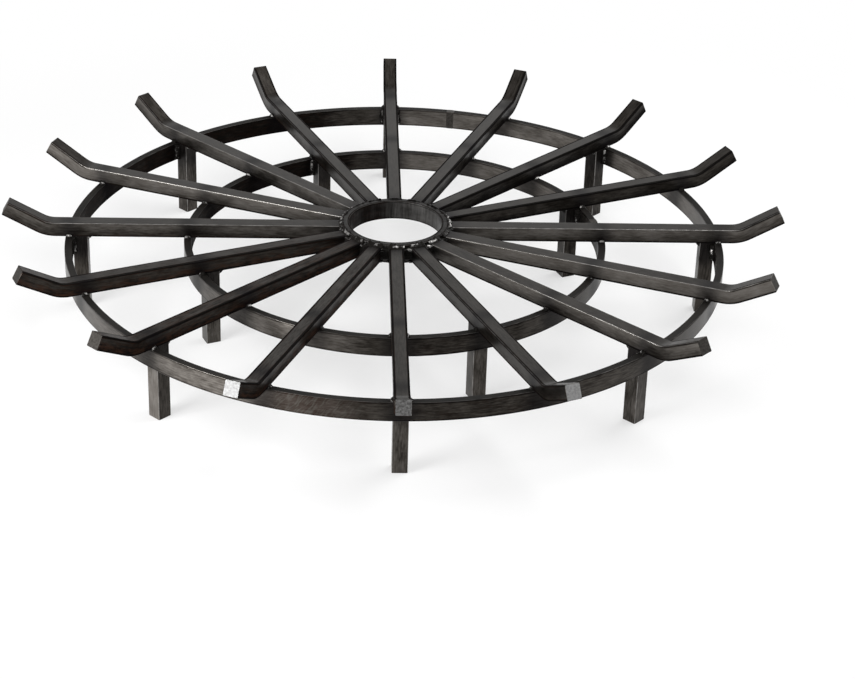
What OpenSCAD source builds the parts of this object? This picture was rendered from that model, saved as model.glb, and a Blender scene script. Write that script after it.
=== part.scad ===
// Round log grate for a fire pit: square bars welded to a hub ring like the spokes of a wheel,
// two rolled flat-bar rings underneath, and short legs inside the rings.
// Origin: on the ground under the middle of the hub. +Z is up, and spoke_01 points along +Y.

/* [Overall] */
// Diameter over the tips of the spokes
overall_d = 1016; // [980:1:1200]
// Clear height from the ground to the underside of the spokes, which is the length of a leg
clearance = 101.6; // [60:0.1:160]

/* [Square bar] */
// Side of the square bar that the spokes and legs are cut from
bar = 19.05; // [15:0.05:20]
// Rounding along the four rolled edges of the square bar
bar_edge_r = 1.5; // [0.5:0.1:3]

/* [Spoke tips] */
// Angle by which the tip of a spoke is bent up
tip_angle = 29; // [10:1:45]
// Distance from the middle of the grate to the corner of the bend
bend_at = 451.5; // [446:0.5:458]
// Radius of the bend along the middle of the bar
bend_r = 38; // [25:1:40]

/* [Hub] */
// Inside diameter of the hub ring
hub_id = 120.65; // [110:0.05:130]
// Height of the hub ring
hub_h = 25.4; // [24:0.1:30]

/* [Rings] */
// Thickness of the flat bar that the hub and the rings are rolled from
flat_t = 9.525; // [8:0.005:11]
// Height of the flat bar, which stands on edge
flat_h = 25.4; // [20:0.1:35]
// Rounding along the four edges of the flat bar
flat_edge_r = 1; // [0.4:0.1:1.5]
// Middle diameter of the outer ring
outer_ring_d = 845.5; // [780:0.5:848]
// Middle diameter of the inner ring
inner_ring_d = 539.5; // [480:0.5:600]
// Where the outer ring is closed, counted in degrees from +X
outer_seam_at = 78; // [74:0.5:82]
// Where the inner ring is closed, counted in degrees from +X
inner_seam_at = 11.5; // [6:0.5:16]
// Root gap that the closing weld of a ring fills
seam_gap = 2.5; // [1:0.5:4]
// Width of the flattened cap on a closing weld
seam_cap = 11; // [6:0.5:12]

/* [Welds] */
// Leg of the fillet beads between bars and rings
weld_leg = 5; // [3:0.5:6]
// Leg of the fillet bead on top of a spoke's end, against the hub
hub_weld_leg = 3; // [2:0.1:3.1]
// How far the weld between two spokes reaches out from the hub
hub_fill = 7; // [4:0.5:10]
// How far a closing weld stands proud of the ring
seam_rise = 0.6; // [0.3:0.1:1]

/* [Hidden] */
SPOKES = 16;
step_a = 360/SPOKES;
// Outer legs stand under every second spoke, and inner legs under every fourth.
OUTER_LEG_SPOKES = [0:2:SPOKES - 1];
INNER_LEG_SPOKES = [1:4:SPOKES - 1];
// Each rolled edge is worn round by three narrow facets, and beads are true quarter rounds.
EDGE_FN = 12;
BEAD_FN = 24;
// Least clearance, which keeps a leg's edges from cutting into its ring
HAIR = 0.01;

// Bars and rings share the level where they touch.
spoke_bottom = clearance;
spoke_mid = clearance + bar/2;
spoke_top = clearance + bar;
ring_bottom = clearance - flat_h;
hub_ir = hub_id/2;
hub_or = hub_ir + flat_t;
flat_width = bar - 2*bar_edge_r;

// The bend replaces one tangent length on each side of its corner.
bend_tangent = bend_r*tan(tip_angle/2);
tip_len = (overall_d/2 - bar/2*sin(tip_angle) - bend_at)/cos(tip_angle);

// A flat leg meets the round inside of a ring at its two outer edges.
function ring_in(d) = d/2 - flat_t/2;
function ring_out(d) = d/2 + flat_t/2;
function leg_face(d) = sqrt(pow(ring_in(d), 2) - pow(bar/2, 2)) - HAIR;
function arc_deg(width, r) = width/r*180/PI;
function spoke_a(k) = 90 + k*step_a;
function two_digits(n) = n < 10 ? str("0", n) : str(n);
function spoke_name(k) = str("spoke_", two_digits(k + 1));
function leg_name(ring, k) = str(ring, "_leg_", two_digits(k + 1));

STEEL = [0.23, 0.22, 0.21];
RING_STEEL = [0.20, 0.19, 0.18];
HUB_STEEL = [0.27, 0.26, 0.25];
WELD = [0.38, 0.37, 0.36];

// Rectangle with rounded corners, centred on the origin.
module rounded_rectangle(w, h, r) {
    square([w - 2*r, h], center = true);
    square([w, h - 2*r], center = true);
    for (x = [-1, 1], y = [-1, 1]) {
        translate([x*(w/2 - r), y*(h/2 - r)]) circle(r = r, $fn = EDGE_FN);
    }
}

// Square bar from the origin along +X.
module square_bar(length) {
    rotate([90, 0, 90]) linear_extrude(length) rounded_rectangle(bar, bar, bar_edge_r);
}

// Flat bar rolled on edge about Z, from angle a over the angle sweep.
module rolled_bar(d, z, height, a, sweep) {
    rotate([0, 0, a])
        rotate_extrude(angle = sweep, $fn = 180)
            translate([d/2, z + height/2]) rounded_rectangle(flat_t, height, flat_edge_r);
}

// Quarter-round section of a fillet bead, with its root corner at the origin.
module bead_section(leg) {
    intersection() {
        circle(r = leg, $fn = BEAD_FN);
        square(leg);
    }
}

// Puts its children at spoke k, where +X points outwards.
module at_spoke(k) {
    rotate([0, 0, spoke_a(k)]) children();
}

// A straight bar butted on the outside of the hub, with its outer end bent up.
module spoke(k) {
    color(STEEL) at_spoke(k) union() {
        translate([hub_or, 0, spoke_mid]) square_bar(bend_at - bend_tangent - hub_or);
        translate([bend_at - bend_tangent, 0, spoke_mid + bend_r])
            rotate([90, 90, 0])
                rotate_extrude(angle = tip_angle, $fn = 96)
                    translate([bend_r, 0]) rounded_rectangle(bar, bar, bar_edge_r);
        translate([bend_at, 0, spoke_mid])
            rotate([0, -tip_angle, 0])
                translate([bend_tangent, 0, 0]) square_bar(tip_len - bend_tangent);
    }
}

// The short ring in the middle, which every spoke butts on.
module hub_ring() {
    color(HUB_STEEL) rotate_extrude($fn = 120)
        translate([hub_ir + flat_t/2, spoke_mid])
            rounded_rectangle(flat_t, hub_h, flat_edge_r);
}

// A ring is rolled until its ends stand the root gap apart.
module open_ring(d, seam_at) {
    gap = arc_deg(seam_gap, d/2);
    color(RING_STEEL) rolled_bar(d, ring_bottom, flat_h, seam_at + gap/2, 360 - gap);
}

// Weld metal in the root gap, with a flattened cap inside and outside.
module seam_weld(d, seam_at) {
    gap = arc_deg(seam_gap, d/2);
    cap = arc_deg(seam_cap, d/2);
    cap_h = flat_h - 2*flat_edge_r;
    color(WELD) union() {
        rolled_bar(d, ring_bottom, flat_h, seam_at - gap/2, gap);
        rotate([0, 0, seam_at - gap/2])
            rotate_extrude(angle = gap, $fn = 180)
                translate([d/2, ring_bottom + flat_h/2])
                    square([flat_t + 2*seam_rise, cap_h], center = true);
        rotate([0, 0, seam_at - cap/2]) rotate_extrude(angle = cap, $fn = 180) {
            for (r = [ring_in(d) - seam_rise, ring_out(d)]) {
                translate([r, ring_bottom + flat_edge_r]) square([seam_rise, cap_h]);
            }
        }
    }
}

// A plain square-bar post inside a ring, from the ground to the underside of spoke k.
module leg(k, d) {
    color(STEEL) at_spoke(k)
        translate([leg_face(d) - bar/2, 0, 0])
            linear_extrude(clearance) rounded_rectangle(bar, bar, bar_edge_r);
}

// Weld metal that closes the wedges between the ends of neighbouring spokes.
module hub_fill_welds() {
    half = step_a/2;
    // Half the width of the wedge between two spokes at distance x along its middle.
    function wedge(x) = x*tan(half) - bar/2/cos(half);
    x_in = hub_or*cos(half);
    x_out = hub_or + hub_fill;
    depth = flat_width - 2;
    color(WELD) for (k = [0:SPOKES - 1]) {
        rotate([0, 0, spoke_a(k) + half])
            translate([0, 0, spoke_mid - depth/2])
                linear_extrude(depth)
                    difference() {
                        polygon([
                            [x_in, -wedge(x_in)], [x_out, -wedge(x_out)],
                            [x_out, wedge(x_out)], [x_in, wedge(x_in)]
                        ]);
                        circle(r = hub_or, $fn = 120);
                    }
    }
}

// Beads across the top and the underside of each spoke's end, against the hub.
module hub_top_welds() {
    sweep = 2*asin(flat_width/2/hub_or);
    color(WELD) for (k = [0:SPOKES - 1], side = [-1, 1]) {
        rotate([0, 0, spoke_a(k) - sweep/2])
            rotate_extrude(angle = sweep, $fn = 120)
                translate([hub_or, spoke_mid + side*bar/2])
                    mirror([0, side < 0 ? 1 : 0]) bead_section(hub_weld_leg);
    }
}

// Beads in the corners where each spoke crosses the top of a ring.
module spoke_welds(d) {
    length = flat_t - 2*flat_edge_r;
    color(WELD) for (k = [0:SPOKES - 1], side = [-1, 1]) {
        at_spoke(k)
            translate([d/2 - length/2, side*bar/2, spoke_bottom])
                mirror([0, side < 0 ? 1 : 0, 0])
                    rotate([90, 0, 90]) linear_extrude(length) bead_section(weld_leg);
    }
}

// Beads up both corners between a leg and its ring, and one under the spoke.
module leg_welds(spokes, d) {
    height = flat_h - 2*flat_edge_r;
    color(WELD) for (k = spokes) {
        at_spoke(k) {
            for (side = [-1, 1]) {
                intersection() {
                    translate([leg_face(d), side*bar/2, ring_bottom + flat_edge_r])
                        mirror([0, side < 0 ? 1 : 0, 0])
                            mirror([1, 0, 0]) linear_extrude(height) bead_section(weld_leg);
                    cylinder(r = ring_in(d), h = clearance, $fn = 180);
                }
            }
            translate([leg_face(d) - bar, -flat_width/2, clearance])
                rotate([-90, 0, 0])
                    mirror([1, 0, 0]) linear_extrude(flat_width) bead_section(weld_leg);
        }
    }
}

hub_ring();
open_ring(outer_ring_d, outer_seam_at);  // outer_ring
open_ring(inner_ring_d, inner_seam_at);  // inner_ring
for (k = [0:SPOKES - 1]) spoke(k);
for (k = OUTER_LEG_SPOKES) leg(k, outer_ring_d);
for (k = INNER_LEG_SPOKES) leg(k, inner_ring_d);
seam_weld(outer_ring_d, outer_seam_at);  // outer_ring_seam_weld
seam_weld(inner_ring_d, inner_seam_at);  // inner_ring_seam_weld
hub_fill_welds();
hub_top_welds();
spoke_welds(outer_ring_d);  // outer_ring_spoke_welds
spoke_welds(inner_ring_d);  // inner_ring_spoke_welds
leg_welds(OUTER_LEG_SPOKES, outer_ring_d);  // outer_leg_welds
leg_welds(INNER_LEG_SPOKES, inner_ring_d);  // inner_leg_welds
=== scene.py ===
# %% [markdown]
# # A welded log grate
# The grate is a wheel of square steel bars. A short ring of flat bar is the hub, sixteen spokes are
# butted and welded on its outside, and two larger rings of flat bar carry the spokes from below.
# Twelve short legs stand inside the rings. The construction is already fixed in the frame that is
# loaded here, so every size below is read from it, or is a stock size that a maker would order.

# %% Load the frame and read its sizes
import math
from itertools import pairwise

import bpy
from mathutils import Matrix, Vector, noise


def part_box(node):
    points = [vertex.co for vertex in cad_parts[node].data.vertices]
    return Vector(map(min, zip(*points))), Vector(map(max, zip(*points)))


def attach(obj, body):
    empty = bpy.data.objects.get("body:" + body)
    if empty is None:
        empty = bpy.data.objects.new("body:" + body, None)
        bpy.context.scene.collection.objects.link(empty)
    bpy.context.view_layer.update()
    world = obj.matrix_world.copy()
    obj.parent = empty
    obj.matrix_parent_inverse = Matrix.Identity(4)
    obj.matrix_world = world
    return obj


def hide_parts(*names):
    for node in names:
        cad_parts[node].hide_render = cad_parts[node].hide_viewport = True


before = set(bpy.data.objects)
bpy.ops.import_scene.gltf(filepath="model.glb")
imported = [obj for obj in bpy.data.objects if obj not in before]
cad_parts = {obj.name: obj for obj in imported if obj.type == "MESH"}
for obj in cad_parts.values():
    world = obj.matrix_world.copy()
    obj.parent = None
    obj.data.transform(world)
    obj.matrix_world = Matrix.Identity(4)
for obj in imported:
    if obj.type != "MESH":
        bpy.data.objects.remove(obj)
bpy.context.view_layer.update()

SPOKES = 16
STEP = 2 * math.pi / SPOKES
LEG_SPOKES = {"outer": range(0, SPOKES, 2), "inner": range(1, SPOKES, 4)}
RINGS = tuple(LEG_SPOKES)


def middle(node):
    """The middle of a node's box."""
    low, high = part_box(node)
    return (low + high) / 2


leg_low, leg_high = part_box("outer_leg_01")
BAR = leg_high.x - leg_low.x
LEG_TOP = leg_high.z
SPOKE_MID = LEG_TOP + BAR / 2
LEG_MID = {"outer": middle("outer_leg_01").xy.length, "inner": middle("inner_leg_02").xy.length}

FLAT_T = 0.009525
RING_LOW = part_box("outer_ring")[0].z
FLAT_H = LEG_TOP - RING_LOW
RING_MID = {ring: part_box(f"{ring}_ring")[1].y - FLAT_T / 2 for ring in RINGS}
SEAM_AT = {ring: math.atan2(*middle(f"{ring}_ring_seam_weld").yx) for ring in RINGS}
HUB_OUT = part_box("hub_ring")[1].y
HUB_MID_R = HUB_OUT - FLAT_T / 2
HUB_LOW, HUB_HIGH = (corner.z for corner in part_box("hub_ring"))
BAR_ROUND, FLAT_HALF_ROUND = 4 * BAR, FLAT_T + FLAT_H
print(f"bar {BAR * 1000:.2f} mm, legs {LEG_TOP * 1000:.1f} mm, rings at {RING_MID}")

# %% [markdown]
# ## Camera
# The picture was taken with a long lens from about shoulder height, almost three metres in front of
# the grate. A Track To constraint could aim the camera, but it leaves no say over the roll. So heading,
# tilt and roll are turned one after the other, and each one can be read off and changed alone. A
# camera looks along its own -Z axis, which is why level sight starts with a quarter turn.

# %% Camera
LENS_MM, SENSOR_MM = 99.85, 36
CAMERA_PLACE = Vector((-0.0755, -2.7749, 1.4810))
HEADING, TILT, ROLL = (math.radians(a) for a in (2.514, 28.882, 1.747))


def add_object(name, data):
    """A new object in the scene, for a mesh, a lamp or a camera."""
    made = bpy.data.objects.new(name, data)
    bpy.context.scene.collection.objects.link(made)
    return made


camera = add_object("camera", bpy.data.cameras.new("camera"))
camera.data.lens = LENS_MM
camera.data.sensor_width = SENSOR_MM
camera.matrix_world = (
    Matrix.Translation(CAMERA_PLACE)
    @ Matrix.Rotation(-HEADING, 4, "Z")
    @ Matrix.Rotation(math.pi / 2 - TILT, 4, "X")
    @ Matrix.Rotation(ROLL, 4, "Z")
)
bpy.context.scene.camera = camera
bpy.context.scene.view_settings.view_transform = "Standard"
print("camera at", tuple(round(c, 3) for c in CAMERA_PLACE))

# %% [markdown]
# ## Shader arithmetic
# A finish is easier to read as an expression than as a net of boxes. Value wraps one socket, and
# its operators add Math nodes. Finish holds one material and its only way to add any other node.

# %% A socket that can be added and multiplied
class Value:
    """One output socket of a material. Arithmetic on it adds Math nodes."""

    def __init__(self, finish, socket):
        self.finish, self.socket = finish, socket

    def math(self, operation, *values):
        return self.finish.node("ShaderNodeMath", dict(enumerate(values)), {"operation": operation})

    def __add__(self, other):
        return self.math("ADD", self, other)

    def __sub__(self, other):
        return self.math("SUBTRACT", self, other)

    def __rsub__(self, other):
        return self.math("SUBTRACT", other, self)

    def __mul__(self, other):
        return self.math("MULTIPLY", self, other)

    def __mod__(self, other):
        """What is left over whole multiples of other, and never negative if other isn't."""
        return self.math("FLOORED_MODULO", self, other)

    def __abs__(self):
        return self.math("ABSOLUTE", self)

    __radd__ = __add__
    __rmul__ = __mul__

    def least(self, other):
        return self.math("MINIMUM", self, other)

    def most(self, other):
        return self.math("MAXIMUM", self, other)

    def whole(self):
        return self.math("FLOOR", self)

    def cosine(self):
        return self.math("COSINE", self)

    def fold(self, width):
        """Distance to the nearest multiple of width."""
        return self.math("PINGPONG", self, width / 2)

    def step(self, low, high):
        """0 below low, 1 above high, and a smooth ramp between them."""
        sockets = {"Value": self, "From Min": low, "From Max": high}
        return self.finish.node("ShaderNodeMapRange", sockets, {"interpolation_type": "SMOOTHSTEP"})

    def near(self, place, width):
        """1 at place, fading to 0 at width from it."""
        return 1 - abs(self - place).step(0, width)


# %% A material under construction
SURFACE_MAP = "along_and_round"


class Finish:
    """The empty node tree of a material or a world, and short names for what recipes use most."""

    def __init__(self, owner):
        owner.use_nodes = True
        self.owner, self.tree = owner, owner.node_tree
        self.tree.nodes.clear()

    def node(self, kind, sockets=None, settings=None, out=0):
        """Adds a node with the value or link of each socket, once its settings have made the sockets.
        out names the output to return, or is a tuple of them, or None."""
        made = self.tree.nodes.new(kind)
        for name, value in (settings or {}).items():
            setattr(made, name, value)
        for name, value in (sockets or {}).items():
            if isinstance(value, Value):
                self.tree.links.new(value.socket, made.inputs[name])
            else:
                made.inputs[name].default_value = value
        if isinstance(out, tuple):
            return [Value(self, made.outputs[one]) for one in out]
        return None if out is None else Value(self, made.outputs[out])

    def along_and_round(self):
        """Metres along a bar, and metres round its section, from the piece's own surface map."""
        place = self.node("ShaderNodeUVMap", settings={"uv_map": SURFACE_MAP})
        return self.node("ShaderNodeSeparateXYZ", {"Vector": place}, out=(0, 1))

    def place(self):
        """The place in the room, as three values."""
        place = self.node("ShaderNodeTexCoord", out="Object")
        return self.node("ShaderNodeSeparateXYZ", {"Vector": place}, out=(0, 1, 2))

    def noise(self, x, y, z=0.0, detail=2.0, roughness=0.5):
        """Cloudy values from 0 to 1 over three coordinates, which set the grain's size and direction."""
        vector = self.node("ShaderNodeCombineXYZ", {"X": x, "Y": y, "Z": z})
        sockets = {"Vector": vector, "Scale": 1.0, "Detail": detail, "Roughness": roughness}
        return self.node("ShaderNodeTexNoise", sockets)

    def mix(self, factor, a, b):
        """Colour a where factor is 0 and colour b where it is 1."""
        return self.node("ShaderNodeMix", {0: factor, 6: a, 7: b}, {"data_type": "RGBA"}, out=2)

    def bump(self, height, metres):
        """A surface normal for a height of 0 to 1 that stands for that many metres."""
        return self.node("ShaderNodeBump", {"Height": height, "Strength": 1.0, "Distance": metres})

    def show(self, shader, output="ShaderNodeOutputMaterial"):
        """Ends the tree with the shader that everything led to."""
        self.node(output, {"Surface": shader}, out=None)
        return self.owner

    def surface(self, **sockets):
        """The outermost layer. Words of a socket's name are joined with an underscore."""
        named = {name.replace("_", " "): value for name, value in sockets.items()}
        return self.show(self.node("ShaderNodeBsdfPrincipled", named))


# %% New finishes and greys
def new_finish(name):
    return Finish(bpy.data.materials.new(name))


def grey(level, warmth=0.0):
    """A nearly neutral colour. Warmth takes a little away from green and twice as much from blue."""
    return (level, level * (1 - warmth), level * (1 - 2 * warmth), 1.0)


# %% [markdown]
# ## Studio
# The grate stands on a large pale sheet. Steel as dark as this shows almost nothing of its own
# colour: what the eye reads is the reflection of the sheet and of the lamps. The sheet and the room
# look white to the camera and in reflections. A sheet that only glowed would lose the shadows, so
# under the grate it is partly an ordinary lit surface, and further out the white takes over.

# %% Pale sheet
SHEET_GREY, SHEET_WHITE, SHEET_FADE = 0.9, 0.53, (0.5, 1.05)


def seen_rays(finish):
    """1 for rays from the camera, from a reflection or through glass, and 0 for stray light."""
    rays = ("Is Camera Ray", "Is Glossy Ray", "Is Transmission Ray")
    camera_ray, glossy_ray, glass_ray = finish.node("ShaderNodeLightPath", out=rays)
    return camera_ray.most(glossy_ray).most(glass_ray)


def pale_sheet():
    sheet = new_finish("pale_sheet")
    place = sheet.node("ShaderNodeTexCoord", out="Object")
    from_middle = sheet.node("ShaderNodeVectorMath", {0: place}, {"operation": "LENGTH"}, out="Value")
    white = SHEET_WHITE + (1 - SHEET_WHITE) * from_middle.step(*SHEET_FADE)
    lit = sheet.node("ShaderNodeBsdfDiffuse", {"Color": grey(SHEET_GREY)})
    plain = sheet.node("ShaderNodeEmission", {"Color": grey(1.0)})
    both = {0: white * seen_rays(sheet), 1: lit, 2: plain}
    return sheet.show(sheet.node("ShaderNodeMixShader", both))


# %% Floor and surroundings
FLOOR_REACH = 6.0
ROOM_LIGHT = 0.45


def set_up(name, corners, material, only_reflected=False):
    """One flat sheet of the studio."""
    mesh = bpy.data.meshes.new(name)
    mesh.from_pydata(corners, [], [(0, 1, 2, 3)])
    mesh.materials.append(material)
    sheet = add_object(name, mesh)
    if only_reflected:
        sheet.visible_camera = sheet.visible_diffuse = sheet.visible_shadow = False


def lay_floor():
    corners = [(x * FLOOR_REACH, y * FLOOR_REACH, 0) for x, y in ((-1, -1), (1, -1), (1, 1), (-1, 1))]
    set_up("floor", corners, pale_sheet())


def light_room():
    bpy.context.scene.world = bpy.data.worlds.new("studio")
    room = Finish(bpy.context.scene.world)
    level = ROOM_LIGHT + (1 - ROOM_LIGHT) * seen_rays(room)
    shown = room.mix(level, grey(0.0), grey(1.0))
    room.show(room.node("ShaderNodeBackground", {"Color": shown}), "ShaderNodeOutputWorld")


lay_floor()
light_room()
print("floor", 2 * FLOOR_REACH, "m, room light", ROOM_LIGHT)

# %% [markdown]
# Steel in an all-white room looks flat, because every edge reflects the same white. Photographers
# stand a dark card beside the set. Here it is behind the grate on the right, where only the rolled
# edges and the raised tips reflect it, and it is hidden from the camera and from stray light.

# %% Dark card
CARD_FOOT = ((0.85, 2.0), (2.7, 0.4))
CARD_HEIGHT, CARD_GREY = 1.9, 0.01


def stand_card():
    card = new_finish("dark_card")
    black = card.show(card.node("ShaderNodeBsdfDiffuse", {"Color": grey(CARD_GREY)}))
    left, right = CARD_FOOT
    corners = [(*left, 0), (*right, 0), (*right, CARD_HEIGHT), (*left, CARD_HEIGHT)]
    set_up("dark_card", corners, black, only_reflected=True)


stand_card()
print("dark card from", CARD_FOOT[0], "to", CARD_FOOT[1])

# %% [markdown]
# A broad lamp hangs overhead, a little to the right. A smaller one stands low at the front left, where
# it lights the left legs and the outside of the rings, and a weak one hangs above it. One at the back
# right draws the shadows forward, and the weakest fills from the front right. A point lamp would show
# as a dot in steel. An area lamp shows its own size there, so that matters as much as its power.

# %% Lamps
AIM = Vector((0, 0, 0.1))
LAMPS = {
    "overhead": {"place": (1.1, 0.4, 1.9), "size": (1.6, 1.4), "watts": 26},
    "low_left": {"place": (-1.5, -1.15, 0.36), "size": (0.9, 0.45), "watts": 42},
    "high_left": {"place": (-1.1, -0.7, 1.1), "size": (0.8, 0.6), "watts": 6},
    "right": {"place": (1.0, -0.75, 0.25), "size": (0.6, 0.3), "watts": 1.5},
    "back_right": {"place": (1.5, 1.2, 0.7), "size": (0.9, 0.6), "watts": 12},
}


def soft_light(name, place, size, watts):
    lamp = bpy.data.lights.new(name, "AREA")
    lamp.shape = "RECTANGLE"
    lamp.size, lamp.size_y = size
    lamp.energy = watts
    holder = add_object(name, lamp)
    holder.location = place
    holder.rotation_euler = (AIM - Vector(place)).to_track_quat("-Z", "Y").to_euler()
    holder.visible_camera = False


for name, lamp in LAMPS.items():
    soft_light(name, **lamp)
print("lamps:", ", ".join(LAMPS))

# %% [markdown]
# ## Steel
# The bars are hot-rolled stock with a dark brown mill scale. They are brushed along their length,
# which leaves streaks of barer steel, and a thin clear coat goes over everything. How bare a face is
# also carries painted light and shade, lighter on the faces that catch the lamps than on the others.
# Handling wears the rolled edges bright, and on the spokes that brightness is also a painted highlight.
# Every weld leaves a dull stain beside it. Noise in room coordinates would run straight through the bars
# like wood grain. So one recipe makes all of these from the two coordinates of a bar, metres along it
# and metres round it, and the grain always follows the bar.

# %% Distance to an edge
def to_bar_edge(round_bar):
    """Metres to the nearest rolled edge of a square bar, whose edges lie one side apart."""
    return round_bar.fold(BAR)


def to_flat_edge(round_bar):
    """Metres to the nearest rolled edge of a flat bar, counted from an edge of its thin side."""
    part = round_bar % FLAT_HALF_ROUND
    return part.least(abs(part - FLAT_T)).least(FLAT_HALF_ROUND - part)


def bar_number(round_bar):
    """Every bar's map starts a full turn after that of the bar before it, so the turns number them."""
    return (round_bar * (1 / BAR_ROUND)).whole()


# %% Patterns in bar steel
CLOUDS, SPECKS, FLECKS, WORN_SPOTS = (28, 60), (420, 420), (60, 260), (80, 30)
STREAKS, STREAKS_ACROSS = (70, 480), (400, 25)


def patterns(bar, along, round_bar, streaks):
    """Clouds, streaks, specks, brown flecks and worn spots, from 0 to 1. Each has its own number of
    waves to a metre along the bar and to a metre round it."""
    def pattern(waves, seed=0.0, **kind):
        return bar.noise(along * waves[0], round_bar * waves[1], seed, **kind)

    cloud = pattern(CLOUDS, detail=4, roughness=0.6)
    streak = pattern(streaks, detail=4, roughness=0.65)
    speck = pattern(SPECKS, 3.0)
    fleck = pattern(FLECKS, 7.0, detail=4, roughness=0.65).step(0.38, 0.62)
    worn_spot = pattern(WORN_SPOTS, 11.0, detail=3).step(0.36, 0.62)
    return cloud, streak, speck, fleck, worn_spot


# %% Bar steel
SCALE_DARK = (0.0042, 0.0036, 0.0032, 1)
SCALE_BROWN = (0.0280, 0.0135, 0.0085, 1)
HEAT_STAIN = (0.0048, 0.0042, 0.0048, 1)
DARKEST = 0.006
BROWNEST = (5, 7)
WORN_AND_HIGHLIT = (0.27, 0.26, 0.25, 1)
POLISH = 3.2
RUB_WIDTH, SCALE_WIDTH = (0.3, 1.0), (1.4, 3.4)  # in edge radii


def steel(name, to_edge, edge_r, stain, bare, rubbed, light=0.038, warmth=0.28,
          streaks=STREAKS, wear=0.85, cross_grain=0.0, marks=None):
    """Brushed and coated steel. light is the grey of its lightest streaks. From the metres along the
    bar and round it, stain gives the heat stain, bare how far it is brushed, where 1 is free of scale
    and 2 polished, which also carries painted light and shade, rubbed how bright the edges are worn,
    which on the spokes also carries a painted highlight, and marks the strokes of a grinder."""
    bar = new_finish(name)
    along, round_bar = bar.along_and_round()
    cloud, streak, speck, fleck, worn_spot = patterns(bar, along, round_bar, streaks)
    from_edge, rub, heat = to_edge(round_bar), rubbed(along, round_bar), stain(along)
    # Worn edges, and on the spokes a painted highlight as well.
    edge = (1 - from_edge.step(*(edge_r * r for r in RUB_WIDTH))) * (0.35 + 0.65 * worn_spot) * rub
    edge_scale = (1 - from_edge.step(*(edge_r * r for r in SCALE_WIDTH))) * (1 - rub)
    # bare carries painted light and shade as well as brushing.
    sanded = bare(along, round_bar) + (cloud - 0.5) * 0.6 - edge_scale * 2.0
    brushed = (sanded + (streak - 0.5) * 0.6).step(0.15, 0.85)
    polished = (sanded + (streak - 0.5) * 0.3).step(1.0, 2.0)
    tone = (cloud * 0.4 + streak * 0.6).step(0.30, 0.70)
    shine = light * POLISH
    plain = bar.mix(tone, grey(DARKEST, warmth), grey(light, warmth * 0.4))
    bright = bar.mix(tone, grey(shine * 0.7, warmth * 0.4), grey(shine * 1.15, warmth * 0.25))
    colour = bar.mix(polished, plain, bright)
    brown = fleck * bar_number(round_bar).near(*BROWNEST) * (1 - edge_scale)
    colour = bar.mix(brushed, bar.mix(brown, SCALE_DARK, SCALE_BROWN), colour)
    if marks:
        where, strokes = marks(bar, along, round_bar)
        ground = bar.mix(strokes, SCALE_BROWN, grey(light * 1.3, 0.12))
        colour = bar.mix(where, colour, ground)
    colour = bar.mix(heat * 0.7, colour, HEAT_STAIN)
    colour = bar.mix(edge * wear, colour, WORN_AND_HIGHLIT)
    uneven = (cloud + streak - 1) * 0.2
    return bar.surface(
        Base_Color=colour,
        Metallic=0.1 + brushed.most(edge) * 0.8,
        Roughness=0.42 + uneven - brushed * 0.08 + heat * 0.12 - edge * 0.1,
        Specular_IOR_Level=0.0,
        Anisotropic=cross_grain,
        Anisotropic_Rotation=0.25,
        Coat_Weight=0.02 + brushed * 0.07 - heat * 0.02,
        Coat_Roughness=0.2,
        Normal=bar.bump(streak * 0.5 + speck * 0.3 + cloud * 0.2, 0.00016),
    )


# %% [markdown]
# The top of every spoke is brushed well. Its sides are given more or less scale from bar to bar, in an
# even swing round the grate, and more towards the bottom. This is painted light and shade: the sides are
# lighter where they catch the lamps in reflection, darker where they don't, and darker low down. Those
# bars also get the brightest upper edges, partly wear and partly a painted highlight. The others keep
# black scale along theirs, as all lower edges do. The rings are lighter on some arcs, which is painted
# light where the lamps' reflections fall. The front of the outer ring was dressed with a hand grinder
# after welding, which left slanting strokes and a brown tint. Every bar could have a finish of its own,
# but a rule that goes by the bar's number says the same in a few lines.

# %% How bare the spokes and legs are, with their painted light and shade
EDGE_BLUR = 0.0004
SIDE_MIDDLE, SIDE_PAINTED_LIGHT, SIDE_LEAST, SIDE_SHADE_FADE = 0.72, 1.05, 0.4, 0.5
MOST_LIT_SPOKE, SWING_SPOKES, LEFT_SIDE_SHADE = 2.9, 8, 0.1
TOP_BARE, TOP_DULLEST, TOP_DULL = 0.93, (6.0, 2.5), 0.4
HIGHLIT_SWING, UPPER_EDGES = (-0.2, 0.8), (0.4, 0.6)
TIP_FROM, TIP_DULL = (0.370, 0.395), 0.7
LEG_BARE, LIT_LEGS, INSIDE_LESS = 1.2, (20, 22), 0.4
DARKER_LEGS, LEG_DARKER = (26, 29), 0.6


def painted_light_swing(round_bar):
    """1 for the bars with the most painted light on their sides and -1 for those with the most painted
    shade.
    """
    return ((bar_number(round_bar) - MOST_LIT_SPOKE) * (2 * math.pi / SWING_SPOKES)).cosine()


def below_top(round_bar):
    """0 at the edges of a spoke's upper face and 1 at its lower edges."""
    return 1 - abs(round_bar % BAR_ROUND - 2.5 * BAR).step(0.5 * BAR, 1.5 * BAR)


# Painted light and shade: the sides are lighter or darker by the swing, a little darker on the left, and
# darker towards the bottom.
def spoke_bare_and_lit(along, round_bar):
    on_right = bar_number(round_bar).step(SPOKES / 2 - 2, SPOKES / 2)
    side = SIDE_MIDDLE + SIDE_PAINTED_LIGHT * painted_light_swing(round_bar) - LEFT_SIDE_SHADE * (1 - on_right)
    side = side.most(SIDE_LEAST) - (below_top(round_bar) - 0.5) * SIDE_SHADE_FADE
    top = TOP_BARE - TOP_DULL * bar_number(round_bar).near(*TOP_DULLEST)
    off_top = (round_bar % BAR_ROUND).step(BAR - EDGE_BLUR, BAR + EDGE_BLUR)
    return top + off_top * (side - top)


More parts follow.
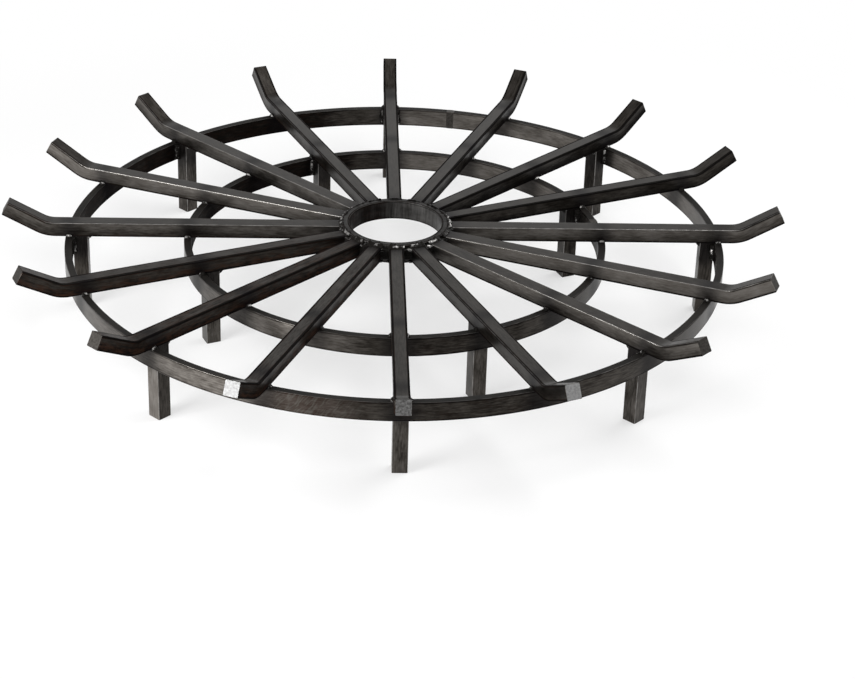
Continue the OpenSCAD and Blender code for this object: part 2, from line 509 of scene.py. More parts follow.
def spoke_rubbed_and_highlit(along, round_bar):
    """The upper edges are worn bright and carry a painted highlight, and the raised tips less so."""
    swing = painted_light_swing(round_bar).step(*HIGHLIT_SWING)
    upper = 1 - below_top(round_bar).step(*UPPER_EDGES)
    return swing * upper * (1 - along.step(*TIP_FROM) * TIP_DULL)


# Painted light and shade: the left legs' outer faces are lighter and their other faces darker.
def leg_bare_and_lit(along, round_bar):
    """The legs' numbers follow those of the spokes. Two at the left get painted light on their outer
    faces, which face the low lamp, and painted shade on their other faces. The last ones, on the right,
    are darker."""
    number = bar_number(round_bar)
    outside = (round_bar % BAR_ROUND).step(3 * BAR - EDGE_BLUR, 3 * BAR + EDGE_BLUR)
    bright = sum(number.near(leg, 1.0) for leg in LIT_LEGS)
    return LEG_BARE + bright * (outside - INSIDE_LESS) - number.step(*DARKER_LEGS) * LEG_DARKER


# %% [markdown]
# A ring's grain could be drawn from its angle in the room, but then its two sides would share every
# mark. So it has the same map as a straight bar, and the angle is worked back from the metres along
# it. The arcs are given in degrees counterclockwise from +X, and run on past a full turn.

# %% How bare the rings and the hub are, with their painted light
RING_BARE, ARC_BLUR = 0.2, math.radians(12)
# Painted light: the rings are lighter on these arcs, where the lamps' reflections fall.
PAINTED_LIGHT_ARCS = ((190, 264, 1.25), (264, 300, 0.4), (300, 370, 0.8), (370, 457, 1.4))
COUNT_FROM = math.radians(145)
HUB_BARE, HUB_LIGHT_SHARE, RIM_BARE = 0.35, 0.75, 0.6
MARKS_AT, MARKS_CLEAR = (255, 12), 0.6
SLANT = (0.8, 0.6)
STROKES, STROKE_BEND = (480, 50), 0.006


def ring_angle(along, radius):
    """The angle round the grate, counted from the back left, where no arc begins or ends."""
    return (along * (1 / radius) - COUNT_FROM) % (2 * math.pi) + COUNT_FROM


def ring_bare_and_lit(radius, least=RING_BARE, share=1.0):
    """How bare a ring is: least, and on each arc of painted light a share of that arc's own number more.
    """
    def bare(along, round_bar):
        angle = ring_angle(along, radius)

        def past(degrees):
            return angle.step(math.radians(degrees) - ARC_BLUR, math.radians(degrees) + ARC_BLUR)

        return sum(((past(start) - past(end)) * (more * share) for start, end, more in PAINTED_LIGHT_ARCS), least)
    return bare


def hub_bare_and_lit(along, round_bar):
    """The hub's wall gets the rings' painted light on the same arcs, but less. Its narrow rim is mottled
    all round.
    """
    on_wall = (round_bar % FLAT_HALF_ROUND).step(FLAT_T - EDGE_BLUR, FLAT_T + EDGE_BLUR)
    wall = ring_bare_and_lit(HUB_MID_R, HUB_BARE, HUB_LIGHT_SHARE)(along, round_bar)
    return RIM_BARE + on_wall * (wall - RIM_BARE)


def grinder_marks(radius):
    """How clear the marks are, and their strokes, which run at a slant and wander a little."""
    def marks(ring, along, round_bar):
        where = ring_angle(along, radius).near(*(math.radians(a) for a in MARKS_AT))
        across = along * SLANT[0] + round_bar * SLANT[1]
        down = round_bar * SLANT[0] - along * SLANT[1]
        bend = ring.noise(along * 60, round_bar * 60, 21.0) * STROKE_BEND
        strokes = ring.noise((across + bend) * STROKES[0], down * STROKES[1], 17.0).step(0.44, 0.64)
        return where * MARKS_CLEAR, strokes
    return marks


# %% [markdown]
# Welding burns a dull band into the steel on both sides of a bead. The bands could be painted by hand,
# but every weld's place along its bar is known from the frame, so each one is found by its distance.

# %% Where the heat of welding reached
HUB_HEAT, CROSSING_HEAT = 0.030, 0.022
LEG_HEAT, RING_HEAT = (-0.020, 0.006), (0.006, 0.030)


def all_over(amount):
    """A recipe's answer that is the same at every place."""
    return lambda *place: amount


def spoke_stain(along):
    """A spoke is welded at the hub, where its length starts, and where it crosses each ring."""
    stain = along.near(0.0, HUB_HEAT)
    for ring in RINGS:
        stain = stain.most(along.near(RING_MID[ring] - HUB_OUT, CROSSING_HEAT))
    return stain


def leg_stain(along):
    """A leg is welded over the height of its ring, up to its top."""
    return along.step(*(RING_LOW + reach for reach in LEG_HEAT))


def ring_stain(radius):
    """The spokes come round once a step. A ring's length is counted from the +X axis, as they are."""
    return lambda along: 1 - along.fold(STEP * radius).step(*RING_HEAT)


# %% The steels of this grate
BAR_EDGE_R = 0.0009
FLAT_EDGE_R = 0.0008
FLAT_RUB, LEG_RUB = 0.7, 1.0


def rolled_steel(ring, marks=None):
    radius = RING_MID[ring]
    return steel(f"{ring}_ring_steel", to_flat_edge, FLAT_EDGE_R, ring_stain(radius), ring_bare_and_lit(radius),
                 all_over(FLAT_RUB), light=0.055, wear=0.3, cross_grain=0.7, marks=marks)


spoke_steel = steel("spoke_steel", to_bar_edge, BAR_EDGE_R, spoke_stain, spoke_bare_and_lit, spoke_rubbed_and_highlit)
leg_steel = steel("leg_steel", to_bar_edge, BAR_EDGE_R, leg_stain, leg_bare_and_lit, all_over(LEG_RUB),
                  light=0.055, wear=0.9)
ring_steel = {"outer": rolled_steel("outer", grinder_marks(RING_MID["outer"])),
              "inner": rolled_steel("inner")}
hub_steel = steel("hub_steel", to_flat_edge, FLAT_EDGE_R, all_over(0.0), hub_bare_and_lit, all_over(FLAT_RUB),
                  light=0.04, warmth=0.1, streaks=STREAKS_ACROSS, wear=0.2)
print("steel:", spoke_steel.name, leg_steel.name, hub_steel.name)

# %% [markdown]
# The two thin sides of the rings were never brushed. They keep the black scale of the rolling mill,
# which is dull and drinks the light, so a separate finish with hardly any gloss covers them.

# %% Mill scale
def mill_scale():
    scale = new_finish("mill_scale")
    along, round_bar = scale.along_and_round()
    flake = scale.noise(along * 220, round_bar * 260, detail=4, roughness=0.65)
    cloud = scale.noise(along * 30, round_bar * 30, 5.0)
    patches = (flake * 0.5 + cloud * 0.5).step(0.35, 0.7)
    return scale.surface(
        Base_Color=scale.mix(patches, grey(0.004, 0.1), grey(0.012, 0.15)),
        Roughness=0.58 + (flake - 0.5) * 0.25,
        Specular_IOR_Level=0.12,
        Normal=scale.bump(flake, 0.0001),
    )


scale_black = mill_scale()
print("mill scale:", scale_black.name)

# %% [markdown]
# ## Cut ends
# A bar is sawn square, and some of the spokes' outer ends are dressed on a grinder. Such an end is
# barer metal than the long sides, so it flashes where it faces a lamp, and looks mottled where it
# doesn't. The other ends keep the saw's dull, oxidised face. Marks this fine would take very many
# points to model, so the finish draws them.

# %% Cut ends
DRESSED_ENDS = {7: "bright", 8: "mottled", 9: "bright"}


def cut_end(name, low, high, roughness):
    """A cut face whose brightness runs between two greys."""
    end = new_finish(name)
    across, up = end.along_and_round()
    mark = end.noise(across * 90, up * 2400)
    blotch = end.noise(across * 330, up * 330, 2.0, detail=4, roughness=0.65)
    tone = (blotch * 0.75 + mark * 0.25).step(0.34, 0.68)
    return end.surface(
        Base_Color=end.mix(tone, low, high),
        Metallic=0.9,
        Roughness=roughness + (blotch - 0.5) * 0.24,
        Normal=end.bump(mark * 0.6 + blotch * 0.4, 0.00008),
    )


end_steels = {
    "sawn": cut_end("sawn_end", grey(0.018, 0.12), grey(0.050, 0.08), 0.62),
    "mottled": cut_end("mottled_end", grey(0.045, 0.03), grey(0.17, 0.01), 0.40),
    "bright": cut_end("bright_end", grey(0.12, 0.01), grey(0.22, 0.0), 0.42),
}
print("cut ends:", ", ".join(end_steels))

# %% [markdown]
# ## Weld metal
# Fresh weld metal is smoother and brighter than the bar beside it. Soot stays at its feet and in
# patches, so a bead shows as a broken bright line along its back. The ripples are real geometry, and
# the finish only adds their fine skin. A weld that was ground flush looks like a dressed cut end.

# %% Weld metal
def weld_metal(name, soot_of):
    """soot_of gives the soot from the metres along a bead and the share of the way across it."""
    weld = new_finish(name)
    places = weld.place()
    patches = weld.noise(*(p * 120 for p in places), detail=4, roughness=0.6).step(0.38, 0.50)
    soot = patches.most(soot_of(*weld.along_and_round()))
    grain = weld.noise(*(p * 1300 for p in places))
    return weld.surface(
        Base_Color=weld.mix(soot, grey(0.25, 0.03), grey(0.005, 0.15)),
        Metallic=0.95 - soot * 0.75,
        Roughness=0.2 + soot * 0.3 + (grain - 0.5) * 0.1,
        Specular_IOR_Level=0.06,
        Coat_Weight=0.3 - soot * 0.29,
        Coat_Roughness=0.12,
        Normal=weld.bump(grain, 0.00008),
    )


FOOT_SOOT = (0.26, 0.46)
FILL_SOOT_AND_SHADE = (0.012, 0.014)


def at_feet(along, across):
    return 1 - across.least(1 - across).step(*FOOT_SOOT)


# Soot and painted shade: the fill is dark over all but its top, in the shade of the wedge between two
# spokes.
def soot_and_shade_low(along, across):
    return 1 - along.step(*FILL_SOOT_AND_SHADE)


weld_skin = weld_metal("weld_metal", at_feet)
shaded_sooty_weld = weld_metal("shaded_sooty_weld", soot_and_shade_low)
ground_weld = cut_end("ground_weld", grey(0.03, 0.12), grey(0.07, 0.08), 0.42)
print("weld metal:", weld_skin.name, shaded_sooty_weld.name, ground_weld.name)

# %% [markdown]
# ## Skinning a section
# Every bar here is one section carried along a path: a square bar along a straight line with a bend,
# a flat bar round a circle. Shape collects the closed loops of points, joins neighbours with quads and
# writes the surface map that the steel's grain follows. Doing it point by point, rather than with a
# bevelled curve, lets the bend squeeze the bar and lets the rolled faces waver a little.

# %% Shape
class Shape:
    """Points, faces and surface coordinates of one piece, collected before its mesh is made."""

    def __init__(self):
        self.points, self.faces, self.places, self.slots = [], [], [], []

    def face(self, corners, places, slot):
        self.faces.append(corners)
        self.places.extend(places)
        self.slots.append(slot)

    def skin(self, loops, alongs, rounds, slot_of=lambda j: 0, closed=False):
        """Quads between following loops, each counterclockwise about the way they follow. rounds has
        one more entry than a loop has points. Returns where the first and the last loop start."""
        starts = []
        for loop in loops:
            starts.append(len(self.points))
            self.points.extend(loop)
        if closed:
            starts.append(starts[0])
        count = len(rounds) - 1
        for (first, second), (a, b) in zip(pairwise(starts), pairwise(alongs)):
            for j in range(count):
                k = (j + 1) % count
                corners = (first + j, first + k, second + k, second + j)
                places = ((a, rounds[j]), (a, rounds[j + 1]), (b, rounds[j + 1]), (b, rounds[j]))
                self.face(corners, places, slot_of(j))
        return starts[0], starts[-1]

    def cap(self, start, section, slot=0, backwards=False):
        """One flat face over a loop, mapped by the section's own coordinates."""
        order = range(len(section))[::-1 if backwards else 1]
        self.face([start + j for j in order], [tuple(section[j]) for j in order], slot)

    def solid(self, loops, alongs, rounds, sections, slot_of=lambda j: 0, end_slot=0):
        """A skin with caps that have the first and the last of the sections."""
        first, last = self.skin(loops, alongs, rounds, slot_of)
        self.cap(first, sections[0], end_slot, backwards=True)
        self.cap(last, sections[-1], end_slot)

    def piece(self, name, materials, slot, replaced, sharp=35):
        """Makes the object, smooth except where faces meet at more than sharp degrees."""
        mesh = bpy.data.meshes.new(name)
        mesh.from_pydata(self.points, [], self.faces)
        for material in materials:
            mesh.materials.append(material)
        mesh.polygons.foreach_set("material_index", self.slots)
        surface = mesh.uv_layers.new(name=SURFACE_MAP)
        surface.data.foreach_set("uv", [c for place in self.places for c in place])
        mesh.shade_smooth()
        mesh.set_sharp_from_angle(angle=math.radians(sharp))
        made = add_object(name, mesh)
        weight = made.modifiers.new("even_shading", "WEIGHTED_NORMAL")
        weight.keep_sharp = True
        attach(made, "root")
        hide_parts(replaced)
        return made


# %% Rounded sections
ARC_STEPS = 4
FLAT_STEPS = 4


def rounded_section(width, height, radius):
    """A rounded rectangle, counterclockwise from the middle of its top right edge. Returns the points,
    the metres travelled with each edge counted at its sharp corner, and how near an edge each one is."""
    corners = ((1, 1), (-1, 1), (-1, -1), (1, -1))
    middles = [Vector((x * (width / 2 - radius), y * (height / 2 - radius))) for x, y in corners]
    points, rounds, edges, start = [], [], [], 0.0

    def lift(turn):
        """From the middle of an arc to its surface."""
        return radius * Vector((math.cos(turn), math.sin(turn)))

    def add_arc(corner, steps):
        for n in steps:
            share = n / ARC_STEPS
            points.append(middles[corner % 4] + lift(math.pi / 2 * corner + math.pi / 2 * share))
            rounds.append(start + radius * (2 * share - 1))
            edges.append(1 - abs(2 * share - 1))

    for corner, side in enumerate((width, height, width, height)):
        add_arc(corner, range(ARC_STEPS // 2, ARC_STEPS + 1))
        for n in range(1, FLAT_STEPS):
            flat = middles[corner].lerp(middles[(corner + 1) % 4], n / FLAT_STEPS)
            points.append(flat + lift(math.pi / 2 * (corner + 1)))
            rounds.append(start + radius + (side - 2 * radius) * n / FLAT_STEPS)
            edges.append(0.0)
        start += side
        add_arc(corner + 1, range(ARC_STEPS // 2))
    return points, rounds + [start], edges


def spaced(low, high, gap):
    """Evenly spaced values from low to high, about gap apart."""
    count = max(1, round((high - low) / gap))
    return [low + (high - low) * n / count for n in range(count + 1)]


BAR_SECTION = rounded_section(BAR, BAR, BAR_EDGE_R)
print("points in a bar's section:", len(BAR_SECTION[0]))

# %% [markdown]
# Rolled bar is never quite flat, and its edges pick up small nicks in the yard. Both only take
# metal away, so the bar never grows past its stock size.

# %% Worn sections
WAVER, WAVER_ALONG, WAVER_ROUND = 0.00005, 22, 60
NICK, NICK_ALONG, NICK_ROUND = 0.00018, 130, 90
SEEDS = {"spoke": 0, "leg": 500, "ring": 900, "hub": 1200}


def shrunk(points, half, amount):
    """A section's points drawn in by amount all round."""
    return [(s * (1 - amount / half[0]), u * (1 - amount / half[1])) for s, u in points]


def worn(section, edges, half, along, seed):
    """A section after wear at one place along a bar. Each bar has a seed of its own."""
    points = []
    for (s, u), edge in zip(section, edges):
        flat_at = Vector((along * WAVER_ALONG, s * WAVER_ROUND + seed, u * WAVER_ROUND))
        nick_at = Vector((along * NICK_ALONG, s * NICK_ROUND, u * NICK_ROUND + seed))
        low = WAVER * (0.5 + 0.5 * noise.noise(flat_at))
        nick = NICK * edge * max(0.0, noise.noise(nick_at)) ** 2
        points += shrunk([(s, u)], half, low + nick)
    return points


# %% [markdown]
# ## Spokes
# A spoke is one length of square bar, sawn square at both ends and bent cold near its outer end.
# Cold bending crushes the inside of the bend wider and draws the outside narrower. The saw's edge is
# broken with a file, which the narrow chamfer at the tip shows.

# %% Spoke line
TIP_ANGLE, BEND_R = math.radians(29), 0.038
SPOKE_GAP, BEND_GAP = 0.005, 0.002
SQUEEZE, CHAMFER, BUTT_FIT = 0.035, 0.0004, 0.0008

spoke_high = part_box("spoke_01")[1]
TIP_RUN = (spoke_high.z - SPOKE_MID - BAR / 2 * math.cos(TIP_ANGLE)) / math.sin(TIP_ANGLE)
BEND_AT = spoke_high.y - BAR / 2 * math.sin(TIP_ANGLE) - TIP_RUN * math.cos(TIP_ANGLE)
BEND_SETBACK = BEND_R * math.tan(TIP_ANGLE / 2)
BEND_START = BEND_AT - BEND_SETBACK - HUB_OUT
BEND_END = BEND_START + BEND_R * TIP_ANGLE
SPOKE_LENGTH = BEND_END + TIP_RUN - BEND_SETBACK


def spoke_line(travel):
    """Where the middle of a spoke is after so many metres from the hub: out, up, and its slope."""
    turned = min(max(travel - BEND_START, 0) / BEND_R, TIP_ANGLE)
    past = max(travel - BEND_END, 0)
    out = HUB_OUT + min(travel, BEND_START) + BEND_R * math.sin(turned) + past * math.cos(turned)
    up = SPOKE_MID + BEND_R * (1 - math.cos(turned)) + past * math.sin(turned)
    return out, up, turned


def at_spoke(k):
    """Turns a place that is given outwards along +X to spoke k, counted round from the +Y axis."""
    return Matrix.Rotation(math.pi / 2 + k * STEP, 4, "Z")


print(f"bend corner at {BEND_AT * 1000:.1f} mm, bar length {SPOKE_LENGTH * 1000:.1f} mm")

# %% Spokes
HALF_BAR = (BAR / 2, BAR / 2)


def bend_squeeze(travel):
    """1 in the middle of the bend, 0 a bar's width away from it."""
    from_bend = abs(travel - (BEND_START + BEND_END) / 2) / (BEND_END - BEND_START + BAR) * 2
    return math.cos(min(from_bend, 1) * math.pi / 2) ** 2


def spoke_loop(k, travel, section):
    out, up, turned = spoke_line(travel)
    squeeze = SQUEEZE * bend_squeeze(travel)
    turn = at_spoke(k)
    loop = []
    for s, u in section:
        side = s * (1 + squeeze * u / HALF_BAR[1])
        loop.append(turn @ Vector((out - u * math.sin(turned), side, up + u * math.cos(turned))))
    return loop


def make_spoke(k):
    section, rounds, edges = BAR_SECTION
    rounds = [r + BAR_ROUND * k for r in rounds]
    travels = spaced(-BUTT_FIT, BEND_START, SPOKE_GAP) + spaced(BEND_START, BEND_END, BEND_GAP)[1:]
    travels += spaced(BEND_END, SPOKE_LENGTH - CHAMFER, SPOKE_GAP)[1:]
    seed = SEEDS["spoke"] + 10 * k
    sections = [worn(section, edges, HALF_BAR, travel, seed) for travel in travels]
    end = shrunk(sections[-1], HALF_BAR, CHAMFER)
    loops = [spoke_loop(k, travel, points) for travel, points in zip(travels, sections)]
    loops.append(spoke_loop(k, SPOKE_LENGTH, end))
    shape = Shape()
    ends = (section, [(s + BAR * k, u) for s, u in end])
    shape.solid(loops, travels + [SPOKE_LENGTH], rounds, ends, end_slot=1)
    name = f"spoke_{k + 1:02d}"
    end_steel = end_steels[DRESSED_ENDS.get(k, "sawn")]
    return shape.piece(f"{name}_bar", [spoke_steel, end_steel], "spoke_steel", name)


spokes = [make_spoke(k) for k in range(SPOKES)]
print(len(spokes), "spokes,", len(spokes[0].data.polygons), "faces each")

# %% [markdown]
# ## Legs
# A leg is an offcut of the same bar, standing inside a ring with its top against a spoke. Its foot
# is sawn and left as it is, because it only meets the ground. A stretched cube with a bevel would do
# from afar, but only a worn section gives it the same edges as the spokes.

# %% Legs
LEG_GAP = 0.004


def make_leg(ring, k):
    section, rounds, edges = BAR_SECTION
    rounds = [r + BAR_ROUND * (k + SPOKES) for r in rounds]
    seed = SEEDS["leg"] + 10 * k
    travels = spaced(CHAMFER, LEG_TOP, LEG_GAP)
    sections = [worn(section, edges, HALF_BAR, travel, seed) for travel in travels]
    foot = shrunk(sections[0], HALF_BAR, CHAMFER)
    turn = at_spoke(k)
    loops = [[turn @ Vector((LEG_MID[ring] + s, u, travel)) for s, u in points]
             for travel, points in zip([0.0] + travels, [foot] + sections)]
    shape = Shape()
    shape.solid(loops, [0.0] + travels, rounds, (foot, section), end_slot=1)
    name = f"{ring}_leg_{k + 1:02d}"
    return shape.piece(f"{name}_bar", [leg_steel, end_steels["sawn"]], "leg_steel", name)


legs =[make_leg(ring, k) for ring in RINGS for k in LEG_SPOKES[ring]]
print(len(legs), "legs")

# %% [markdown]
# ## Rings and hub
# The rings and the hub are flat bar, rolled on edge until the ends meet. The section is carried round
# with its first axis pointing inwards, so that it turns the same way about its path as a bar's does.
# Rolling leaves a ring with very slight flats, and the same wear as before is enough to show them.

# %% Rings
RING_GAP = 0.006
SEAM_GAP = 0.0025
HALF_FLAT = (FLAT_T / 2, FLAT_H / 2)
RING_LEVEL = RING_LOW + FLAT_H / 2
SCALE_FROM = FLAT_EDGE_R * 0.6


def ring_loop(radius, angle, height, section):
    """A section set up at an angle round the grate."""
    outwards = Vector((math.cos(angle), math.sin(angle), 0))
    return [(radius - s) * outwards + Vector((0, 0, height + u)) for s, u in section]


def thin_side(rounds):
    """Picks material 1 for the parts of a flat bar's section that lie on its two thin sides."""
    parts = [(a + b) / 2 % FLAT_HALF_ROUND for a, b in pairwise(rounds)]
    return lambda j: int(SCALE_FROM < parts[j] < FLAT_T - SCALE_FROM)


def make_ring(ring):
    radius = RING_MID[ring]
    section, rounds, edges = rounded_section(FLAT_T, FLAT_H, FLAT_EDGE_R)
    first_angle = SEAM_AT[ring] + SEAM_GAP / 2 / radius
    angles = spaced(first_angle, first_angle + 2 * math.pi - SEAM_GAP / radius, RING_GAP / radius)
    alongs = [angle * radius for angle in angles]
    seed = SEEDS["ring"] + 50 * RINGS.index(ring)
    sections = [worn(section, edges, HALF_FLAT, along, seed) for along in alongs]
    loops = [ring_loop(radius, angle, RING_LEVEL, points) for angle, points in zip(angles, sections)]
    shape = Shape()
    shape.solid(loops, alongs, rounds, (section, section), thin_side(rounds))
    return shape.piece(f"{ring}_ring_bar", [ring_steel[ring], scale_black], "ring_steel", f"{ring}_ring")


rings = [make_ring(ring) for ring in RINGS]
print(len(rings), "rings")

# %% [markdown]
# The hub is a full ring, so its last loop is joined to its first and it has no caps. Wear that was
# looked up by the metres along it would jump at that joint. It is looked up by the place instead.

# %% Hub
HUB_GAP = 0.004


def make_hub():
    section, rounds, edges = rounded_section(FLAT_T, HUB_HIGH - HUB_LOW, FLAT_EDGE_R)
    angles = spaced(0.0, 2 * math.pi, HUB_GAP / HUB_MID_R)
    loops = []
    for angle in angles[:-1]:
        across = math.cos(angle) * HUB_MID_R
        seed = SEEDS["hub"] + math.sin(angle) * HUB_MID_R * WAVER_ALONG
        worn_here = worn(section, edges, HALF_FLAT, across, seed)
        loops.append(ring_loop(HUB_MID_R, angle, (HUB_LOW + HUB_HIGH) / 2, worn_here))
    shape = Shape()
    shape.skin(loops, [angle * HUB_MID_R for angle in angles], rounds, closed=True)
    return shape.piece("hub_ring_bar", [hub_steel], "hub_steel", "hub_ring")


hub = make_hub()
print("hub:", len(hub.data.polygons), "faces")

# %% [markdown]
# ## Weld beads
# A welder lays a bead as a row of overlapping pools, so its back is a stack of curved ripples and its
# ends run out thin. A smooth fillet would be quicker, but it reads as putty. Each bead here fills the
# corner between two faces. It is skinned like a bar, but its section is a bulging triangle whose size
# follows the ripples, with its root sunk into the corner. The seeds only make the beads differ.

# %% Ripples and lumps
RIPPLE, RIPPLE_DEPTH, RIPPLE_LAG, RIPPLE_REST = 0.0021, 0.0005, 0.45, 0.7
BEAD_RUNOUT, RUNOUT_LEAST = 0.0022, 0.15
BEAD_WOBBLE, WOBBLE_WAVES = 0.12, 260


def lump(travel, seed, wobble=BEAD_WOBBLE):
    """A slow change of size along a bead, about 1."""
    return 1 + wobble * noise.noise(Vector((travel * WOBBLE_WAVES, seed * 3.7, 0.5)))


def runout(travel, length):
    """How much of a bead's size is left near its ends."""
    to_end = max(0.0, min(travel, length - travel, BEAD_RUNOUT)) / BEAD_RUNOUT
    return RUNOUT_LEAST + (1 - RUNOUT_LEAST) * math.sqrt(1 - (1 - to_end) ** 2)


def ripple(travel, v, seed):
    """Height of the ripples at a place across the bead, which lag at its feet."""
    crown = 4 * v * (1 - v)
    wave = abs(math.sin(math.pi * (travel / RIPPLE + RIPPLE_LAG * crown + seed)))
    return RIPPLE_DEPTH * crown * (wave - RIPPLE_REST)


# %% One bead
TRAVEL_STEP = RIPPLE / 5
BEAD_STEPS, BEAD_SINK, BEAD_BULGE = 8, 0.0004, 1.4


def bead_rounds(steps, behind):
    """0 to 1 over the face that shows, and on past 1 round the sides that are sunk behind it."""
    return [n / steps for n in range(steps + 1)] + [1 + (n + 1) / 10 for n in range(behind)]


def bead_section(travel, length, legs, seed, wobble):
    size = runout(travel, length)
    a, b = (leg * lump(travel, seed + n, wobble) for n, leg in enumerate(legs))
    points = []
    for n in range(BEAD_STEPS + 1):
        v = n / BEAD_STEPS
        turn = v * math.pi / 2
        high = ripple(travel, v, seed)
        points.append((size * (a + high) * math.cos(turn) ** (2 / BEAD_BULGE),
                       size * (b + high) * math.sin(turn) ** (2 / BEAD_BULGE)))
    return points + [(-BEAD_SINK, size * b), (-BEAD_SINK, -BEAD_SINK), (size * a, -BEAD_SINK)]


def add_bead(shape, length, legs, place, seed, wobble=BEAD_WOBBLE):
    """place gives the root of the corner and its two faces' directions after some metres of travel.
    The first direction, the second and the way of travel are right-handed."""
    travels = spaced(0.0, length, TRAVEL_STEP)
    loops, sections = [], []
    for travel in travels:
        root, a, b = place(travel)
        sections.append(bead_section(travel, length, legs, seed, wobble))
        loops.append([root + x * a + y * b for x, y in sections[-1]])
    shape.solid(loops, travels, bead_rounds(BEAD_STEPS, 4), sections)


def straight(turn, root, a, b):
    """The place function of a straight bead, given outwards along +X and turned to its spoke."""
    root, a, b = (turn @ Vector(given) for given in (root, a, b))
    way = a.cross(b)
    return lambda travel: (root + travel * way, a, b)


def finish_welds(shape, node, skin=weld_skin):
    made = shape.piece(f"{node}_metal", [skin], "weld_metal", node, sharp=60)
    print(f"{made.name}: {len(made.data.polygons)} faces")


# %% [markdown]
# Where a spoke crosses a ring, a short bead sits in the corner on each side of the spoke. Every
# corner is described once, outwards along +X, and turned to its spoke.

# %% Spoke and ring beads
SPOKE_BEAD_LEG = 0.0040
SPOKE_BEAD_LENGTH = FLAT_T - 0.0012


def make_crossing_welds(ring):
    shape = Shape()
    for k in range(SPOKES):
        turn = at_spoke(k)
        seed = 31 * k + 7 * RINGS.index(ring)
        legs = (SPOKE_BEAD_LEG * (0.9 + 0.02 * (seed % 11)), SPOKE_BEAD_LEG)
        for n, side in enumerate((1, -1)):
            root = (RING_MID[ring] - side * SPOKE_BEAD_LENGTH / 2, side * BAR / 2, LEG_TOP)
            corner = straight(turn, root, (0, side, 0), (0, 0, 1))
            add_bead(shape, SPOKE_BEAD_LENGTH, legs, corner, seed + 0.4 * n)
    finish_welds(shape, f"{ring}_ring_spoke_welds")


for ring in RINGS:
    make_crossing_welds(ring)

# %% [markdown]
# A leg has a bead up each corner with its ring, and one across under the spoke that it carries.

# %% Leg beads
LEG_BEAD_LEG = 0.0054
LEG_BEAD_WOBBLE = 0.35
LEG_BEAD_HEIGHT = FLAT_H - 0.002
UNDER_BEAD_LENGTH = BAR - 2 * BAR_EDGE_R


def make_leg_welds(ring):
    shape = Shape()
    low = RING_LOW + (FLAT_H - LEG_BEAD_HEIGHT) / 2
    face = LEG_MID[ring] + BAR / 2
    for k in LEG_SPOKES[ring]:
        turn = at_spoke(k)
        seed = 17 * k + 3
        legs = (LEG_BEAD_LEG, LEG_BEAD_LEG * 0.95)
        left = straight(turn, (face, BAR / 2, low), (0, 1, 0), (-1, 0, 0))
        right = straight(turn, (face, -BAR / 2, low), (-1, 0, 0), (0, -1, 0))
        under = straight(turn, (face - BAR, UNDER_BEAD_LENGTH / 2, LEG_TOP), (-1, 0, 0), (0, 0, -1))
        add_bead(shape, LEG_BEAD_HEIGHT, legs, left, seed, LEG_BEAD_WOBBLE)
        add_bead(shape, LEG_BEAD_HEIGHT, legs, right, seed + 5, LEG_BEAD_WOBBLE)
        add_bead(shape, UNDER_BEAD_LENGTH, legs, under, seed + 9)
    finish_welds(shape, f"{ring}_leg_welds")


for ring in RINGS:
    make_leg_welds(ring)

# %% [markdown]
# ## Welds at the hub
# A bead runs across the top and the underside of each spoke's end, curving with the hub. Between two
# spokes the welder fills the wedge from the bottom up. The fill hangs between both bars and the hub
# like a web, dished in the middle, so it is skinned upwards from a section of its own.

# %% Beads across the spoke ends
HUB_BEAD_LEGS = (0.0042, 0.0042)
HUB_BEAD_LENGTH = BAR + 0.003
HUB_BEAD_WOBBLE = 0.4
BEAD_LEAN = 0.45


def on_hub(angle, height, up):
    """The place function of a bead that runs round the hub from an angle, above or under a spoke.
    It leans inwards, so that it laps over the rim."""
    def place(travel):
        here = angle + up * travel / HUB_OUT
        outwards = Vector((math.cos(here), math.sin(here), 0))
        root = HUB_OUT * outwards + Vector((0, 0, height))
        return root, Vector((0, 0, up)) - BEAD_LEAN * outwards, outwards
    return place


def make_hub_beads():
    shape = Shape()
    for k in range(SPOKES):
        for up in (1, -1):
            seed = 13 * k + 5 * up + 40
            length = HUB_BEAD_LENGTH + 0.0004 * (seed % 7 - 3)
            start = math.pi / 2 + k * STEP - up * length / 2 / HUB_OUT
            add_bead(shape, length, HUB_BEAD_LEGS, on_hub(start, SPOKE_MID + up * BAR / 2, up), seed,
                     HUB_BEAD_WOBBLE)
    finish_welds(shape, "hub_top_welds")


make_hub_beads()

# %% Fills between the spokes
FILL_OUT, FILL_DISH, FILL_RIPPLE = 0.0062, 0.0022, 1.6
FILL_LOW, FILL_HIGH = LEG_TOP + 0.0022, LEG_TOP + BAR - 0.0006
FILL_STEPS, FILL_SINK = 10, 0.0006


def wedge_half(out):
    """Half the width between two spokes at a distance from the grate's middle."""
    return out * math.tan(STEP / 2) - BAR / 2 / math.cos(STEP / 2)


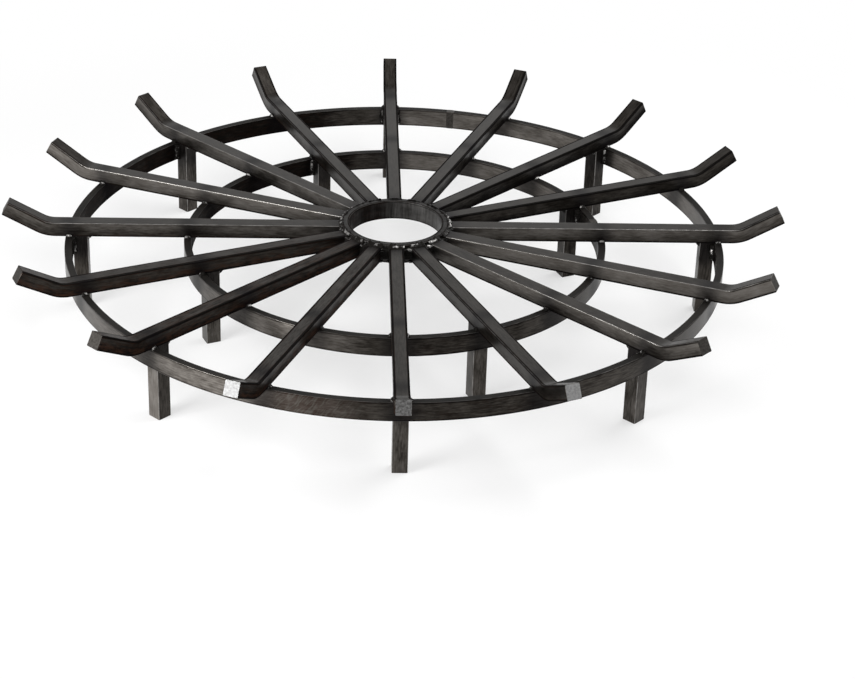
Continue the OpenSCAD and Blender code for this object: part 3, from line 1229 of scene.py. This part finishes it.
def fill_section(travel, seed):
    size = runout(travel, FILL_HIGH - FILL_LOW)
    points = []
    for n in range(FILL_STEPS + 1):
        v = n / FILL_STEPS
        dish = FILL_DISH * 4 * v * (1 - v)
        high = FILL_RIPPLE * ripple(travel, v, seed)
        out = HUB_OUT + size * (FILL_OUT * lump(travel, seed) - dish + high)
        points.append((out, (2 * v - 1) * (wedge_half(out) + FILL_SINK)))
    back = HUB_OUT * math.cos(STEP / 2) - FILL_SINK
    reach = wedge_half(back) + FILL_SINK
    return points + [(back, reach), (back, -reach)]


def make_fills():
    shape = Shape()
    travels = spaced(0.0, FILL_HIGH - FILL_LOW, TRAVEL_STEP)
    for k in range(SPOKES):
        turn = at_spoke(k + 0.5)
        sections = [fill_section(travel, 23 * k + 11) for travel in travels]
        loops = [[turn @ Vector((x, y, FILL_LOW + travel)) for x, y in points]
                 for travel, points in zip(travels, sections)]
        shape.solid(loops, travels, bead_rounds(FILL_STEPS, 3), sections)
    # Its dark finish below the top is partly soot and partly painted shade between the spokes.
    finish_welds(shape, "hub_fill_welds", shaded_sooty_weld)


make_fills()

# %% [markdown]
# ## Closing welds
# Each ring is closed by one butt weld, ground nearly flush. It could be a stripe in the ring's finish,
# but the real one catches the light on its own edges. So it wraps the bar as a thin collar that swells
# out of the surface and sinks back into it, and its middle fills the gap between the ends.

# %% Closing welds
SEAM_WIDTH, SEAM_STEP = 0.011, 0.0004
SEAM_RISE, SEAM_SINK = 0.0005, 0.0001
SEAM_OVER = 0.2
SEAM_UNEVEN, UNEVEN_WAVES = 0.00008, 700


def make_seam(ring):
    radius = RING_MID[ring]
    travels = spaced(-SEAM_WIDTH / 2, SEAM_WIDTH / 2, SEAM_STEP)
    loops, sections = [], []
    for travel in travels:
        swell = 1 - (2 * travel / SEAM_WIDTH) ** 4
        grow = (SEAM_RISE + SEAM_SINK) * swell - SEAM_SINK
        grow += SEAM_UNEVEN * noise.noise(Vector((travel * UNEVEN_WAVES, 0, 4 + radius)))
        section, rounds, _ = rounded_section(FLAT_T + 2 * grow, FLAT_H + grow * SEAM_OVER, FLAT_EDGE_R)
        sections.append(section)
        loops.append(ring_loop(radius, SEAM_AT[ring] + travel / radius, RING_LEVEL, section))
    shape = Shape()
    shape.solid(loops, travels, rounds, sections)
    finish_welds(shape, f"{ring}_ring_seam_weld", ground_weld)


for ring in RINGS:
    make_seam(ring)
